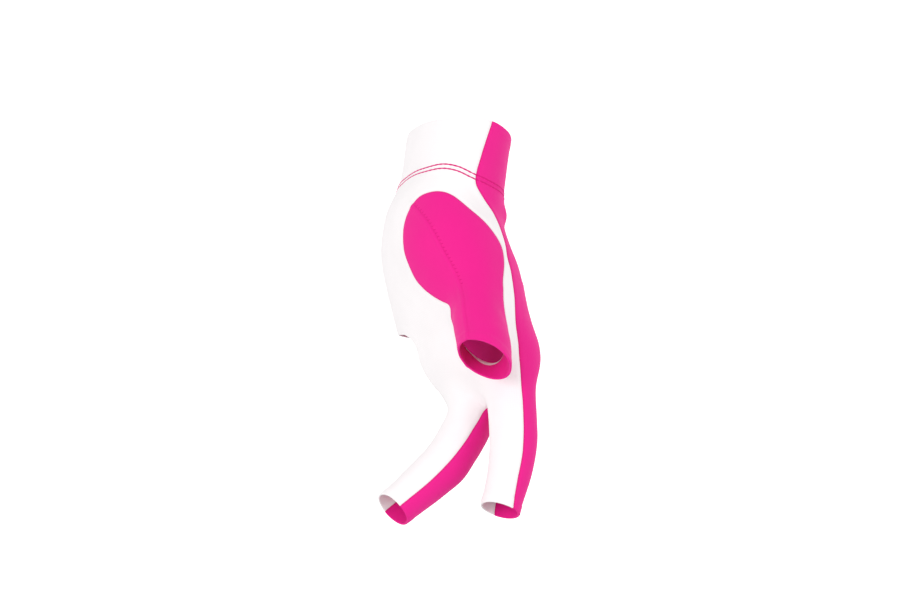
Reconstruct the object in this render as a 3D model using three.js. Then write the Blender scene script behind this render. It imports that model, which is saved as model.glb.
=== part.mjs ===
// Billiard glove for the left hand: thumb, index and middle finger covered to the last joint,
// ring and little finger bare. It keeps the form that it has on a hand hanging down from the wrist.
//
// Units are millimetres and +Z is up. The origin is the middle of the wrist opening.
// +X is the back of the hand, -X the palm, -Y the thumb side.
//
// The worn form is four limbs (hand, index, middle, thumb), each a stack of rounded sections from a
// short table, run together with soft webs. The cut lines of the cloth then divide that one skin
// into the sewn panels, and each panel gets its wall.

import * as THREE from 'three';
import { triTable } from 'three/addons/objects/MarchingCubes.js';

// Driving dimensions
const WALL = 1.2; // cloth with its turned edges
const SEAM_GAP = 0.4; // clear space between two panels
const CELL = 4.8; // size of the facets
const LEAN = 19; // degrees that the hand hangs forward of plumb
const WEB_FINGERS = 8; // roundness of the web at the root of the fingers
const WEB_BETWEEN = 5; // and between index and middle
const WEB_THUMB = 9; // and at the thumb

const SNAP = 0.24 * CELL; // a corner of a facet nearer than this to a cut line is moved onto it
const EASE_ROUNDS = 5; // rounds of evening out the facets

const MAGENTA = '#ee2396';
const WHITE = '#f8f4f4';

const toRadians = THREE.MathUtils.degToRad;
const vector = (x, y, z) => new THREE.Vector3(x, y, z);

// A table with named columns. The first column is the distance along, and at() gives every column
// at any distance, on one smooth curve through the rows.
function table(columns, rows) {
  const last = rows.length - 1;
  const slope = (i, c) => {
    const before = rows[Math.max(i - 1, 0)];
    const after = rows[Math.min(i + 1, last)];
    return (after[c] - before[c]) / (after[0] - before[0]);
  };
  return function at(distance) {
    const d = THREE.MathUtils.clamp(distance, rows[0][0], rows[last][0]);
    let i = 0;
    while (i < last - 1 && d > rows[i + 1][0]) i += 1;
    const span = rows[i + 1][0] - rows[i][0];
    const t = (d - rows[i][0]) / span;
    const found = {};
    for (let c = 1; c < columns.length; c += 1) {
      const from = rows[i][c] * (2 * t ** 3 - 3 * t ** 2 + 1) + rows[i + 1][c] * (3 * t ** 2 - 2 * t ** 3);
      const bend = slope(i, c) * (t ** 3 - 2 * t ** 2 + t) + slope(i + 1, c) * (t ** 3 - t ** 2);
      found[columns[c]] = from + bend * span;
    }
    return found;
  };
}

// The limbs. "along" runs from the root to the tip, "shift" moves the section towards the back of
// the hand, "turn" is its twist in degrees, and the other four are its reach on each side.
const SECTION = ['along', 'shift', 'turn', 'radial', 'ulnar', 'palmar', 'dorsal'];

const HAND = {
  root: vector(0, 0, 0),
  heading: vector(0, -Math.sin(toRadians(LEAN)), -Math.cos(toRadians(LEAN))),
  power: 2.3,
  start: -25,
  end: 124,
  endRoundness: 24,
  section: table(SECTION, [
    [-20, 4.0, 23, 29, 29, 22.5, 20.5],
    [0, 0.0, 23, 29.5, 29, 22.5, 21.5],
    [18, -3.6, 23, 29, 29, 21.5, 22.8],
    [34, -5.5, 23, 31, 33, 25.8, 22.6],
    [50, -5.0, 24, 35, 38, 27.0, 22.6],
    [66, -2.0, 25, 38, 40, 26.5, 24.4],
    [84, 2.5, 27, 39, 41, 25.0, 21.5],
    [100, 7.0, 28, 38, 41, 22.5, 14.5],
    [116, 9.0, 28, 34, 39, 19.0, 12.0],
    [130, 10.0, 28, 30, 35, 17.0, 10.0],
  ]),
};
const INDEX = {
  root: vector(24, -50, -94),
  heading: vector(-6, -22, -66),
  power: 2.1,
  start: -26,
  end: 84,
  endRoundness: 1,
  section: table(SECTION, [
    [-26, -9.0, 28, 6, 6, 6, 5],
    [0, -1.3, 28, 12.0, 11.0, 12.5, 11.6],
    [18, 0.6, 26, 11.0, 10.5, 11.5, 10.2],
    [38, 3.0, 25, 10.4, 10.4, 10.6, 10.2],
    [54, 2.9, 24, 9.7, 9.7, 9.9, 9.4],
    [70, 0.2, 24, 9.0, 9.0, 8.9, 8.6],
    [84, -1.5, 24, 8.5, 8.5, 8.3, 8.2],
  ]),
};
const MIDDLE = {
  root: vector(14, -28, -99),
  heading: vector(-41.6, -32, -62.6),
  power: 2.1,
  start: -20,
  end: 96,
  endRoundness: 1,
  section: table(SECTION, [
    [-20, -9.0, 28, 6, 6, 6, 6],
    [0, -1.0, 28, 11.0, 11.0, 11.5, 11.0],
    [18, 4.0, 28, 11.0, 11.0, 11.5, 11.0],
    [34, 7.3, 28, 10.7, 10.7, 10.8, 10.5],
    [50, 7.2, 28, 10.4, 10.4, 10.4, 10.3],
    [66, 4.4, 28, 10.0, 10.0, 10.0, 10.2],
    [82, -0.4, 28, 9.0, 9.0, 9.0, 9.2],
    [96, -5.0, 28, 8.4, 8.4, 8.3, 8.3],
  ]),
};
const THUMB = {
  root: vector(-10, -20, -33),
  heading: vector(23, -65, -64),
  power: 2.1,
  start: -18,
  end: 116,
  endRoundness: 1,
  section: table(SECTION, [
    [-18, 2.0, 0, 8, 8, 8, 8],
    [0, 1.0, 0, 14.5, 14.5, 15.5, 14],
    [22, 3.0, 0, 19.0, 19.0, 22.0, 17],
    [40, 4.0, 0, 15.5, 15.5, 17.2, 14.2],
    [55, 4.0, 0, 13.0, 13.0, 12.1, 12.1],
    [72, 1.2, 0, 11.9, 11.9, 11.4, 11.5],
    [90, -1.0, 0, 11.6, 11.6, 11.4, 11.6],
    [106, -5.0, 0, 11.2, 11.2, 11.2, 11.2],
  ]),
};

// Soft swells (+) and dents (-) of the skin: place, spread and height
const SWELLS = [
  { name: 'crease over the back of the wrist', at: vector(20, -14, -31), spread: 5, height: 1.0 },
  { name: 'the same crease at its thumb end', at: vector(19.5, -21, -33.8), spread: 3.3, height: 2.0 },
  { name: 'dip below that crease', at: vector(19, -15, -39), spread: 5, height: -1.2 },
  { name: 'hollow beside the root of the thumb', at: vector(12, -38, -27), spread: 7, height: -1.6 },
  { name: 'knuckle of the index finger', at: vector(36, -50, -89), spread: 6.5, height: 1.3 },
];

for (const limb of [HAND, INDEX, MIDDLE, THUMB]) {
  limb.heading.normalize();
  limb.side = vector(1, 0, 0).addScaledVector(limb.heading, -limb.heading.x).normalize();
  limb.back = limb.side.clone().cross(limb.heading);
}

// A point seen from a limb: how far along it lies, how far across (towards the little finger) and
// through (towards the back of the hand), and its distance from the limb's surface.
function seenFrom(limb, point) {
  const local = point.clone().sub(limb.root);
  const along = local.dot(limb.heading);
  const section = limb.section(along);
  const turn = toRadians(section.turn);
  const x = local.dot(limb.side) - section.shift;
  const y = local.dot(limb.back);
  const across = y * Math.cos(turn) - x * Math.sin(turn);
  const through = x * Math.cos(turn) + y * Math.sin(turn);
  const acrossReach = across > 0 ? section.ulnar : section.radial;
  const throughReach = through > 0 ? section.dorsal : section.palmar;
  const a = Math.abs(across) / acrossReach;
  const b = Math.abs(through) / throughReach;
  const power = limb.power;
  const radius = Math.max((a ** power + b ** power) ** (1 / power), 1e-6);
  const steepness = Math.hypot(
    (a / radius) ** (power - 1) / acrossReach,
    (b / radius) ** (power - 1) / throughReach,
  );
  const side = (radius - 1) / Math.max(steepness, 1e-6);
  const distance = -web(-side, limb.end - along, limb.endRoundness);
  return { along, across, through, distance: Math.max(distance, limb.start - along) };
}

// The lesser of two distances, with a soft web where they meet
function web(a, b, roundness) {
  const overlap = Math.max(roundness - Math.abs(a - b), 0) / roundness;
  return Math.min(a, b) - (overlap * overlap * roundness) / 4;
}

// Distance from the skin of the whole worn form: below zero inside
function skin(point) {
  const fingers = web(seenFrom(INDEX, point).distance, seenFrom(MIDDLE, point).distance, WEB_BETWEEN);
  const hand = web(seenFrom(HAND, point).distance, fingers, WEB_FINGERS);
  let distance = web(hand, seenFrom(THUMB, point).distance, WEB_THUMB);
  for (const swell of SWELLS) {
    distance -= swell.height * Math.exp(-point.distanceToSquared(swell.at) / (2 * swell.spread ** 2));
  }
  return distance;
}

const AXES = [vector(1, 0, 0), vector(0, 1, 0), vector(0, 0, 1)];

function slopeOf(field, point) {
  const step = 0.05;
  const parts = AXES.map((axis) => {
    const ahead = field(point.clone().addScaledVector(axis, step));
    const behind = field(point.clone().addScaledVector(axis, -step));
    return (ahead - behind) / (2 * step);
  });
  return vector(...parts);
}

const outward = (point) => slopeOf(skin, point).normalize();

function ontoSkin(point) {
  for (let round = 0; round < 4; round += 1) {
    const slope = slopeOf(skin, point);
    point.addScaledVector(slope, -skin(point) / slope.lengthSq());
  }
  return point;
}

// The cut lines of the cloth. Each is a distance that is below zero on the named side.

// The wrist hem stands a little higher on the palm side, most of all towards the little finger.
const WRIST_HEM = table(['through', 'along'], [
  [-24, -1.4], [-16, -1.1], [-8, -1.3], [0, -1.0], [6, -0.1], [12, 1.0], [20, 1.5],
]);

function aboveWristHem(point) {
  const { along, across, through } = seenFrom(HAND, point);
  const palmShare = THREE.MathUtils.smoothstep(-through, -4, 20);
  return along - WRIST_HEM(through).along + 0.12 * palmShare * THREE.MathUtils.clamp(across + 23, 0, 31);
}

// The seam under the cuff band lies lower on the back of the hand.
const CUFF_SEAM = table(['through', 'along'], [
  [-24, 20.8], [-19, 21.6], [-14, 21.7], [-8, 23.3], [-1, 26.0], [5, 27.3], [12, 28.3], [22, 28.2],
]);

function inCuff(point) {
  const { along, through } = seenFrom(HAND, point);
  return along - CUFF_SEAM(through).along;
}

const indexHem = (point) => {
  const { along, through } = seenFrom(INDEX, point);
  return along - (71.6 + 0.2 * through);
};
const middleHem = (point) => {
  const { along, through } = seenFrom(MIDDLE, point);
  return along - (82.8 + 0.22 * through);
};
const THUMB_HEM = new THREE.Plane(vector(-0.43, -0.61, -0.66).normalize(), -110.5);
const thumbHem = (point) => THUMB_HEM.distanceToPoint(point);

// Below zero past a finger's hem, and only on that finger
function pastHem(limb, others, hem) {
  return (point) => {
    const own = seenFrom(limb, point).distance;
    const nearest = Math.min(...others.map((other) => seenFrom(other, point).distance));
    return Math.max(-hem(point), own - nearest);
  };
}

// The opening for the ring and little finger. In the palm its edge runs down beside the ring finger
// and then across to the edge of the hand. Over the knuckles it is one slanting line.
const OPENING_SIDE = table(['along', 'across'], [
  [80, 13.5], [97, 12.5], [104, 14.5], [112, 14], [119, 13], [124, 14], [180, 26],
]);
const OPENING_TOP = 91; // along, at the corner in the palm
const OPENING_CORNER = 7; // radius of that corner
const KNUCKLE_LINE = { along: 124, across: 14, slant: 1.05 };

function inOpening(point) {
  const { along, across, through } = seenFrom(HAND, point);
  const beside = across - OPENING_SIDE(along).across;
  const below = along - (OPENING_TOP - (across - 13) / 3);
  const palm = web(beside, below, OPENING_CORNER);
  const slanted = along - KNUCKLE_LINE.along + (across - KNUCKLE_LINE.across) * KNUCKLE_LINE.slant;
  const knuckles = web(beside, slanted / Math.hypot(1, KNUCKLE_LINE.slant), OPENING_CORNER);
  const share = THREE.MathUtils.smoothstep(through, -8, 8);
  return -(palm * (1 - share) + knuckles * share);
}

// The seam between the white palm side and the magenta back, as "through" along the hand and index
const BACK_SEAM = table(['along', 'through'], [
  [-20, 4.5], [0, 3.5], [17, 1.9], [24, 1.0], [30, 1.4], [36, 5.6], [42, 9.7], [50, 11.0], [58, 10.6],
  [65, 8.7], [72, 7.8], [84, 4.3], [98, 0.0], [109, 0.6], [120, 2.4], [130, 3.2], [152, 3.6], [166, 1.8],
  [180, 0.5],
]);
const MIDDLE_SEAM = -0.5; // the same on the middle finger

function inPalmSide(point) {
  const hand = seenFrom(HAND, point);
  const middle = seenFrom(MIDDLE, point);
  const other = Math.min(hand.distance, seenFrom(INDEX, point).distance);
  const share = THREE.MathUtils.smoothstep(other - middle.distance, -9, 9);
  const onHand = hand.through - BACK_SEAM(hand.along).through;
  const onMiddle = middle.through - MIDDLE_SEAM;
  return onHand * (1 - share) + onMiddle * share;
}

// The thumb patch seen from the thumb side: its outline is a smooth closed curve in X and Z. On
// the far side of the thumb it ends in the web, where "across" on the thumb reaches PATCH_DEPTH.
// It leaves the skin of the hand to the other panels, past PATCH_HUG from the thumb's own surface.
const PATCH_OUTLINE = new THREE.SplineCurve([
  [-9.9, -22.7], [-16.8, -24.4], [-21.8, -28.6], [-24.4, -35.5], [-25.1, -43.1], [-24.2, -51],
  [-20.4, -60.3], [-16.8, -65.2], [-12.3, -69.0], [-7.8, -72.0], [-6.0, -75.5], [-6.5, -84], [-7.5, -100],
  [-2, -114], [12, -120],
  [26, -114], [28, -98], [27, -84], [22.5, -74], [19.3, -65.5], [19.9, -55], [18.6, -47], [13.2, -38.6],
  [4.1, -30], [-3.2, -24.4], [-9.9, -22.7],
].map(([x, z]) => new THREE.Vector2(x, z))).getPoints(160);
const PATCH_DEPTH = table(['along', 'across'], [[20, 8], [45, 9.5], [58, 10.5], [66, 10], [76, 12], [90, 13]]);
const PATCH_HUG = table(['along', 'distance'], [
  [25, 14], [42, 9], [52, 5], [60, 2], [68, 0.8], [80, 0.6], [100, 1.2],
]);
const PATCH_CORNER = 3;

function outsideOutline(outline, x, z) {
  let nearest = Infinity;
  let inside = false;
  for (let i = 0; i < outline.length - 1; i += 1) {
    const a = outline[i];
    const b = outline[i + 1];
    const length = (b.x - a.x) ** 2 + (b.y - a.y) ** 2;
    const along = ((x - a.x) * (b.x - a.x) + (z - a.y) * (b.y - a.y)) / length;
    const t = THREE.MathUtils.clamp(along, 0, 1);
    nearest = Math.min(nearest, Math.hypot(a.x + t * (b.x - a.x) - x, a.y + t * (b.y - a.y) - z));
    const spans = a.y > z !== b.y > z;
    if (spans && x < a.x + ((z - a.y) / (b.y - a.y)) * (b.x - a.x)) inside = !inside;
  }
  return inside ? -nearest : nearest;
}

function inPatch(point) {
  const { along, across, distance } = seenFrom(THUMB, point);
  const outline = outsideOutline(PATCH_OUTLINE, point.x, point.z);
  const offThumb = 4 * (distance - PATCH_HUG(along).distance);
  const depth = web(PATCH_DEPTH(along).across - across, -offThumb, PATCH_CORNER);
  return -web(-outline, depth, PATCH_CORNER);
}

// The seam that runs down the patch and the thumb, as "through" along the thumb
const THUMB_SEAM = table(['along', 'through'], [
  [-5, -15], [17, -12.8], [35, -10.6], [53, -7.6], [67, -6.4], [92, -7.0], [110, -7.2],
]);

function inThumbPalmSide(point) {
  const { along, through } = seenFrom(THUMB, point);
  return through - THUMB_SEAM(along).through;
}

// The skin as facets, by marching cubes: a grid of cells, a corner on each grid edge that the skin
// crosses, and in each cell the triangles that the table gives for its inside and outside nodes.
// Then the corners are evened out and put back on the skin.
const GRID_LOW = vector(-56.4, -122, -193);
const GRID_SIZE = vector(109, 177, 237);
const CELL_NODES = [
  [0, 0, 0], [1, 0, 0], [1, 1, 0], [0, 1, 0], [0, 0, 1], [1, 0, 1], [1, 1, 1], [0, 1, 1],
];
const CELL_EDGES = [
  [0, 1], [1, 2], [2, 3], [3, 0], [4, 5], [5, 6], [6, 7], [7, 4], [0, 4], [1, 5], [2, 6], [3, 7],
];
const TABLE_ROW = 16; // entries that the triangle table has for each kind of cell

function facetSkin() {
  const count = GRID_SIZE.clone().divideScalar(CELL).ceil();
  const nodes = [];
  const numberOf = (i, j, k) => (i * (count.y + 1) + j) * (count.z + 1) + k;
  for (let i = 0; i <= count.x; i += 1) {
    for (let j = 0; j <= count.y; j += 1) {
      for (let k = 0; k <= count.z; k += 1) {
        const place = vector(i, j, k).multiplyScalar(CELL).add(GRID_LOW);
        const distance = skin(place);
        const clear = Math.max(Math.abs(distance), 0.12 * CELL); // keeps corners off the nodes
        nodes.push({ place, value: distance < 0 ? -clear : clear });
      }
    }
  }
  const points = [];
  const faces = [];
  const cornerOf = new Map();
  const cornerBetween = (a, b) => {
    const name = a < b ? `${a} ${b}` : `${b} ${a}`;
    if (!cornerOf.has(name)) {
      const share = nodes[a].value / (nodes[a].value - nodes[b].value);
      points.push(nodes[a].place.clone().lerp(nodes[b].place, share));
      cornerOf.set(name, points.length - 1);
    }
    return cornerOf.get(name);
  };
  for (let i = 0; i < count.x; i += 1) {
    for (let j = 0; j < count.y; j += 1) {
      for (let k = 0; k < count.z; k += 1) {
        const cell = CELL_NODES.map(([x, y, z]) => numberOf(i + x, j + y, k + z));
        const kind = cell.reduce((sum, node, n) => sum + (nodes[node].value < 0 ? 2 ** n : 0), 0);
        const row = triTable.slice(kind * TABLE_ROW, (kind + 1) * TABLE_ROW);
        for (let n = 0; row[n] >= 0; n += 3) {
          const corners = [2, 1, 0].map((step) => {
            const [from, to] = CELL_EDGES[row[n + step]];
            return cornerBetween(cell[from], cell[to]);
          });
          faces.push({ corners, region: 'glove' });
        }
      }
    }
  }
  evenOut(points, faces);
  return { points, faces, onCut: new Set() };
}

function evenOut(points, faces) {
  const neighbours = points.map(() => new Set());
  for (const { corners } of faces) {
    for (let n = 0; n < 3; n += 1) {
      neighbours[corners[n]].add(corners[(n + 1) % 3]);
      neighbours[corners[(n + 1) % 3]].add(corners[n]);
    }
  }
  for (let round = 0; round < EASE_ROUNDS; round += 1) {
    const middles = neighbours.map((near) => {
      const sum = vector(0, 0, 0);
      for (const n of near) sum.add(points[n]);
      return sum.divideScalar(near.size);
    });
    points.forEach((point, n) => {
      const move = middles[n].sub(point);
      const normal = outward(point);
      move.addScaledVector(normal, -move.dot(normal));
      ontoSkin(point.addScaledVector(move, 0.6));
    });
  }
}

// Cuts one region of the skin along the line where the field is zero. The part below zero gets the
// new name. Corners near the line move onto it, and edges that cross it are divided there.
function cut(skinMesh, region, field, newName) {
  const { points, faces, onCut } = skinMesh;
  const values = new Map();
  for (const face of faces) {
    if (face.region !== region) continue;
    for (const n of face.corners) if (!values.has(n)) values.set(n, field(points[n]));
  }
  for (const [n, value] of values) {
    if (onCut.has(n)) {
      if (Math.abs(value) < SNAP / 2) values.set(n, 0);
    } else if (Math.abs(value) < SNAP) {
      for (let round = 0; round < 3; round += 1) {
        const normal = outward(points[n]);
        const slope = slopeOf(field, points[n]);
        slope.addScaledVector(normal, -slope.dot(normal));
        points[n].addScaledVector(slope, -field(points[n]) / slope.lengthSq());
        ontoSkin(points[n]);
      }
      values.set(n, 0);
      onCut.add(n);
    }
  }
  const middleOf = new Map();
  const edgeName = (a, b) => (a < b ? `${a} ${b}` : `${b} ${a}`);
  for (const face of faces) {
    if (face.region !== region) continue;
    for (let n = 0; n < 3; n += 1) {
      const a = face.corners[n];
      const b = face.corners[(n + 1) % 3];
      const name = edgeName(a, b);
      if (middleOf.has(name) || values.get(a) * values.get(b) >= 0) continue;
      const share = values.get(a) / (values.get(a) - values.get(b));
      points.push(ontoSkin(points[a].clone().lerp(points[b], share)));
      middleOf.set(name, points.length - 1);
      values.set(points.length - 1, 0);
      onCut.add(points.length - 1);
    }
  }
  const divided = [];
  for (const face of faces) {
    for (const corners of divide(face.corners, (a, b) => middleOf.get(edgeName(a, b)), points)) {
      let name = face.region;
      if (name === region) {
        let sum = corners.reduce((total, n) => total + values.get(n), 0);
        if (sum === 0) {
          const middle = vector(0, 0, 0);
          for (const n of corners) middle.addScaledVector(points[n], 1 / 3);
          sum = field(middle);
        }
        if (sum < 0) name = newName;
      }
      divided.push({ corners, region: name });
    }
  }
  skinMesh.faces = divided;
}

// The triangles of one facet once some of its edges have a new corner in the middle
function divide([a, b, c], middle, points) {
  const ab = middle(a, b);
  const bc = middle(b, c);
  const ca = middle(c, a);
  const marks = [ab, bc, ca].filter((n) => n !== undefined).length;
  if (marks === 0) return [[a, b, c]];
  if (marks === 3) return [[a, ab, ca], [ab, b, bc], [ca, bc, c], [ab, bc, ca]];
  if (marks === 1) {
    if (ab !== undefined) return [[a, ab, c], [ab, b, c]];
    return divide([b, c, a], middle, points);
  }
  if (ab !== undefined && ca !== undefined) {
    const short = points[ab].distanceTo(points[c]) < points[b].distanceTo(points[ca]);
    const rest = short ? [[ab, b, c], [ab, c, ca]] : [[ab, b, ca], [b, c, ca]];
    return [[a, ab, ca], ...rest];
  }
  return divide([b, c, a], middle, points);
}

// One panel: its facets with the edge drawn in by half the seam gap, then a wall of cloth inwards
function panelGeometry(skinMesh, region) {
  const own = skinMesh.faces.filter((face) => face.region === region).map((face) => face.corners);
  const numberOf = new Map();
  const outer = [];
  for (const corners of own) {
    for (const n of corners) {
      if (numberOf.has(n)) continue;
      numberOf.set(n, outer.length);
      outer.push(skinMesh.points[n].clone());
    }
  }
  const triangles = own.map((corners) => corners.map((n) => numberOf.get(n)));
  const normals = outer.map(outward);
  const edges = new Map();
  for (const corners of triangles) {
    for (let n = 0; n < 3; n += 1) edges.set(`${corners[n]} ${corners[(n + 1) % 3]}`, corners[(n + 2) % 3]);
  }
  const rim = [...edges.keys()].map((name) => name.split(' ').map(Number));
  const openRim = rim.filter(([a, b]) => !edges.has(`${b} ${a}`));
  const inward = new Map();
  for (const [a, b] of openRim) {
    for (const n of [a, b]) {
      const tangent = outer[b].clone().sub(outer[a]).normalize();
      const push = normals[n].clone().cross(tangent);
      inward.set(n, (inward.get(n) ?? vector(0, 0, 0)).add(push));
    }
  }
  for (const [n, push] of inward) outer[n].addScaledVector(push.normalize(), SEAM_GAP / 2);
  const inner = outer.map((point, n) => point.clone().addScaledVector(normals[n], -WALL));
  const count = outer.length;
  const index = [];
  for (const [a, b, c] of triangles) index.push(a, b, c, c + count, b + count, a + count);
  for (const [a, b] of openRim) index.push(a, a + count, b, b, a + count, b + count);
  const geometry = new THREE.BufferGeometry().setFromPoints([...outer, ...inner]);
  geometry.setIndex(index);
  geometry.computeVertexNormals();
  return geometry;
}

const gloveSkin = facetSkin();
cut(gloveSkin, 'glove', aboveWristHem, 'left out');
cut(gloveSkin, 'glove', pastHem(INDEX, [HAND, MIDDLE, THUMB], indexHem), 'left out');
cut(gloveSkin, 'glove', pastHem(MIDDLE, [HAND, INDEX, THUMB], middleHem), 'left out');
cut(gloveSkin, 'glove', pastHem(THUMB, [HAND, INDEX, MIDDLE], thumbHem), 'left out');
cut(gloveSkin, 'glove', inOpening, 'left out');
cut(gloveSkin, 'glove', inPatch, 'thumb');
cut(gloveSkin, 'glove', inCuff, 'cuff');
cut(gloveSkin, 'thumb', inThumbPalmSide, 'thumb_palmar_panel');
cut(gloveSkin, 'cuff', inPalmSide, 'cuff_white');
cut(gloveSkin, 'glove', inPalmSide, 'palm_panel');

const glove = new THREE.Group();

function addPanel(name, region, color) {
  const material = new THREE.MeshStandardMaterial({ color, roughness: 0.85, metalness: 0 });
  const panel = new THREE.Mesh(panelGeometry(gloveSkin, region), material);
  panel.name = name;
  glove.add(panel);
}

addPanel('cuff_white', 'cuff_white', WHITE);
addPanel('cuff_magenta', 'cuff', MAGENTA);
addPanel('palm_panel', 'palm_panel', WHITE);
addPanel('back_panel', 'glove', MAGENTA);
addPanel('thumb_palmar_panel', 'thumb_palmar_panel', MAGENTA);
addPanel('thumb_dorsal_panel', 'thumb', MAGENTA);

export default glove;
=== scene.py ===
# A billiard glove for the left hand, as it looks worn: snug stretch jersey in magenta and white, with
# thumb, index and middle finger in open tubes and one opening for the ring and little finger.
#
# Lengths are millimetres while the cloth is worked out, and metres once a mesh is made.

import math

import bpy
import numpy as np
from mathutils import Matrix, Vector, noise
from mathutils.kdtree import KDTree


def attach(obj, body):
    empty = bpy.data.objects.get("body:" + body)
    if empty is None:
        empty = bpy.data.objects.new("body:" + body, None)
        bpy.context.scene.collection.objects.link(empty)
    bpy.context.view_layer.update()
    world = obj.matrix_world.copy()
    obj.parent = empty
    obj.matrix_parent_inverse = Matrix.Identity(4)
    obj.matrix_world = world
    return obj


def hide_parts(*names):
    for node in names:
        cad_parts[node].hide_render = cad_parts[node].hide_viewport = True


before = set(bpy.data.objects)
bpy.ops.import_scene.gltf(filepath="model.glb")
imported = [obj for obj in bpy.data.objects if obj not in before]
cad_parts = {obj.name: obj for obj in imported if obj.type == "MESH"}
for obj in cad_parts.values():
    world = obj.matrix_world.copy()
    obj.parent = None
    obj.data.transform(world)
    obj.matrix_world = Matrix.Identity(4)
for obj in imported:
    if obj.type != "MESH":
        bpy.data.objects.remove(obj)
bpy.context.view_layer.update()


# The worn cloth
# Thin warp-stretch jersey, cut flat in six pieces and sewn edge to edge. Pulled over a hand it takes
# the hand's form with hardly a wrinkle, so one skin is worked out first, from four limbs.
MM = 0.001
LEAN = math.radians(19)
# Fillets where the fingers meet the hand, one finger meets the other, and the thumb meets the hand
WEB_FINGERS = 8
WEB_BETWEEN = 5
WEB_THUMB = 9


def unit(direction):
    direction = np.asarray(direction, float)
    return direction / np.linalg.norm(direction, axis=-1, keepdims=True)


def smooth_table(rows):
    """A function of the first column that gives the others, in a smooth curve through the rows."""
    rows = np.array(rows, float)
    along, columns = rows[:, 0], rows[:, 1:]
    slopes = np.empty_like(columns)
    slopes[1:-1] = (columns[2:] - columns[:-2]) / (along[2:] - along[:-2])[:, None]
    slopes[0] = (columns[1] - columns[0]) / (along[1] - along[0])
    slopes[-1] = (columns[-1] - columns[-2]) / (along[-1] - along[-2])

    def at(distance):
        d = np.clip(distance, along[0], along[-1])
        i = np.clip(np.searchsorted(along, d, side="right") - 1, 0, len(along) - 2)
        span = along[i + 1] - along[i]
        t = (d - along[i]) / span
        start = 2 * t**3 - 3 * t**2 + 1
        end = 1 - start
        leave = (t**3 - 2 * t**2 + t) * span
        arrive = (t**3 - t**2) * span
        return [
            start * value[i] + end * value[i + 1] + leave * slope[i] + arrive * slope[i + 1]
            for value, slope in zip(columns.T, slopes.T)
        ]

    return at


def limb(root, heading, power, start, end, end_roundness, rows):
    """A limb from start to end along its heading. The power makes its section squarer than an oval."""
    heading = unit(heading)
    side = unit(np.array([1.0, 0, 0]) - heading * heading[0])
    return {
        "root": np.array(root, float),
        "heading": heading,
        "side": side,
        "back": np.cross(side, heading),
        "power": power,
        "start": start,
        "end": end,
        "end_roundness": end_roundness,
        "section": smooth_table(rows),
    }


# Columns of every limb's table: distance along it, shift towards the back of the hand, twist in
# degrees, and the reach of the section on its thumb, little finger, palm and back sides.
HAND = limb((0, 0, 0), (0, -math.sin(LEAN), -math.cos(LEAN)), 2.3, -25, 124, 24, [
    (-20, 4.0, 23, 29, 29, 22.5, 20.5),
    (0, 0.0, 23, 29.5, 29, 22.5, 21.5),
    (18, -3.6, 23, 29, 29, 21.5, 22.8),
    (34, -5.5, 23, 31, 33, 25.8, 22.6),
    (50, -5.0, 24, 35, 38, 27.0, 22.6),
    (66, -2.0, 25, 38, 40, 26.5, 24.4),
    (84, 2.5, 27, 39, 41, 25.0, 21.5),
    (100, 7.0, 28, 38, 41, 22.5, 14.5),
    (116, 9.0, 28, 34, 39, 19.0, 12.0),
    (130, 10.0, 28, 30, 35, 17.0, 10.0),
])
INDEX = limb((24, -50, -94), (-6, -22, -66), 2.1, -26, 84, 1, [
    (-26, -9.0, 28, 6, 6, 6, 5),
    (0, -1.3, 28, 12.0, 11.0, 12.5, 11.6),
    (18, 0.6, 26, 11.0, 10.5, 11.5, 10.2),
    (38, 3.0, 25, 10.4, 10.4, 10.6, 10.2),
    (54, 2.9, 24, 9.7, 9.7, 9.9, 9.4),
    (70, 0.2, 24, 9.0, 9.0, 8.9, 8.6),
    (84, -1.5, 24, 8.5, 8.5, 8.3, 8.2),
])
MIDDLE = limb((14, -28, -99), (-41.6, -32, -62.6), 2.1, -20, 96, 1, [
    (-20, -9.0, 28, 6, 6, 6, 6),
    (0, -1.0, 28, 11.0, 11.0, 11.5, 11.0),
    (18, 4.0, 28, 11.0, 11.0, 11.5, 11.0),
    (34, 7.3, 28, 10.7, 10.7, 10.8, 10.5),
    (50, 7.2, 28, 10.4, 10.4, 10.4, 10.3),
    (66, 4.4, 28, 10.0, 10.0, 10.0, 10.2),
    (82, -0.4, 28, 9.0, 9.0, 9.0, 9.2),
    (96, -5.0, 28, 8.4, 8.4, 8.3, 8.3),
])
THUMB = limb((-10, -20, -33), (23, -65, -64), 2.1, -18, 116, 1, [
    (-18, 2.0, 0, 8, 8, 8, 8),
    (0, 1.0, 0, 14.5, 14.5, 15.5, 14),
    (22, 3.0, 0, 19.0, 19.0, 22.0, 17),
    (40, 4.0, 0, 15.5, 15.5, 17.2, 14.2),
    (55, 4.0, 0, 13.0, 13.0, 12.1, 12.1),
    (72, 1.2, 0, 11.9, 11.9, 11.4, 11.5),
    (90, -1.0, 0, 11.6, 11.6, 11.4, 11.6),
    (106, -5.0, 0, 11.2, 11.2, 11.2, 11.2),
])
LIMBS = (HAND, INDEX, MIDDLE, THUMB)
# Soft swells (+) and dents (-) of the skin: place, spread and height
SWELLS = [
    ((20, -14, -31), 5, 1.0),  # crease over the back of the wrist
    ((19.5, -21, -33.8), 3.3, 2.0),  # the same crease at its thumb end
    ((19, -15, -39), 5, -1.2),  # dip below that crease
    ((12, -38, -27), 7, -1.6),  # hollow beside the root of the thumb
    ((36, -50, -89), 6.5, 1.3),  # knuckle of the index finger
    ((4, -54, -151), 6, 1.2),  # middle joint of the middle finger
    ((-14.5, -45, -140), 6, -0.8),  # bend inside that joint
]


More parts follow.
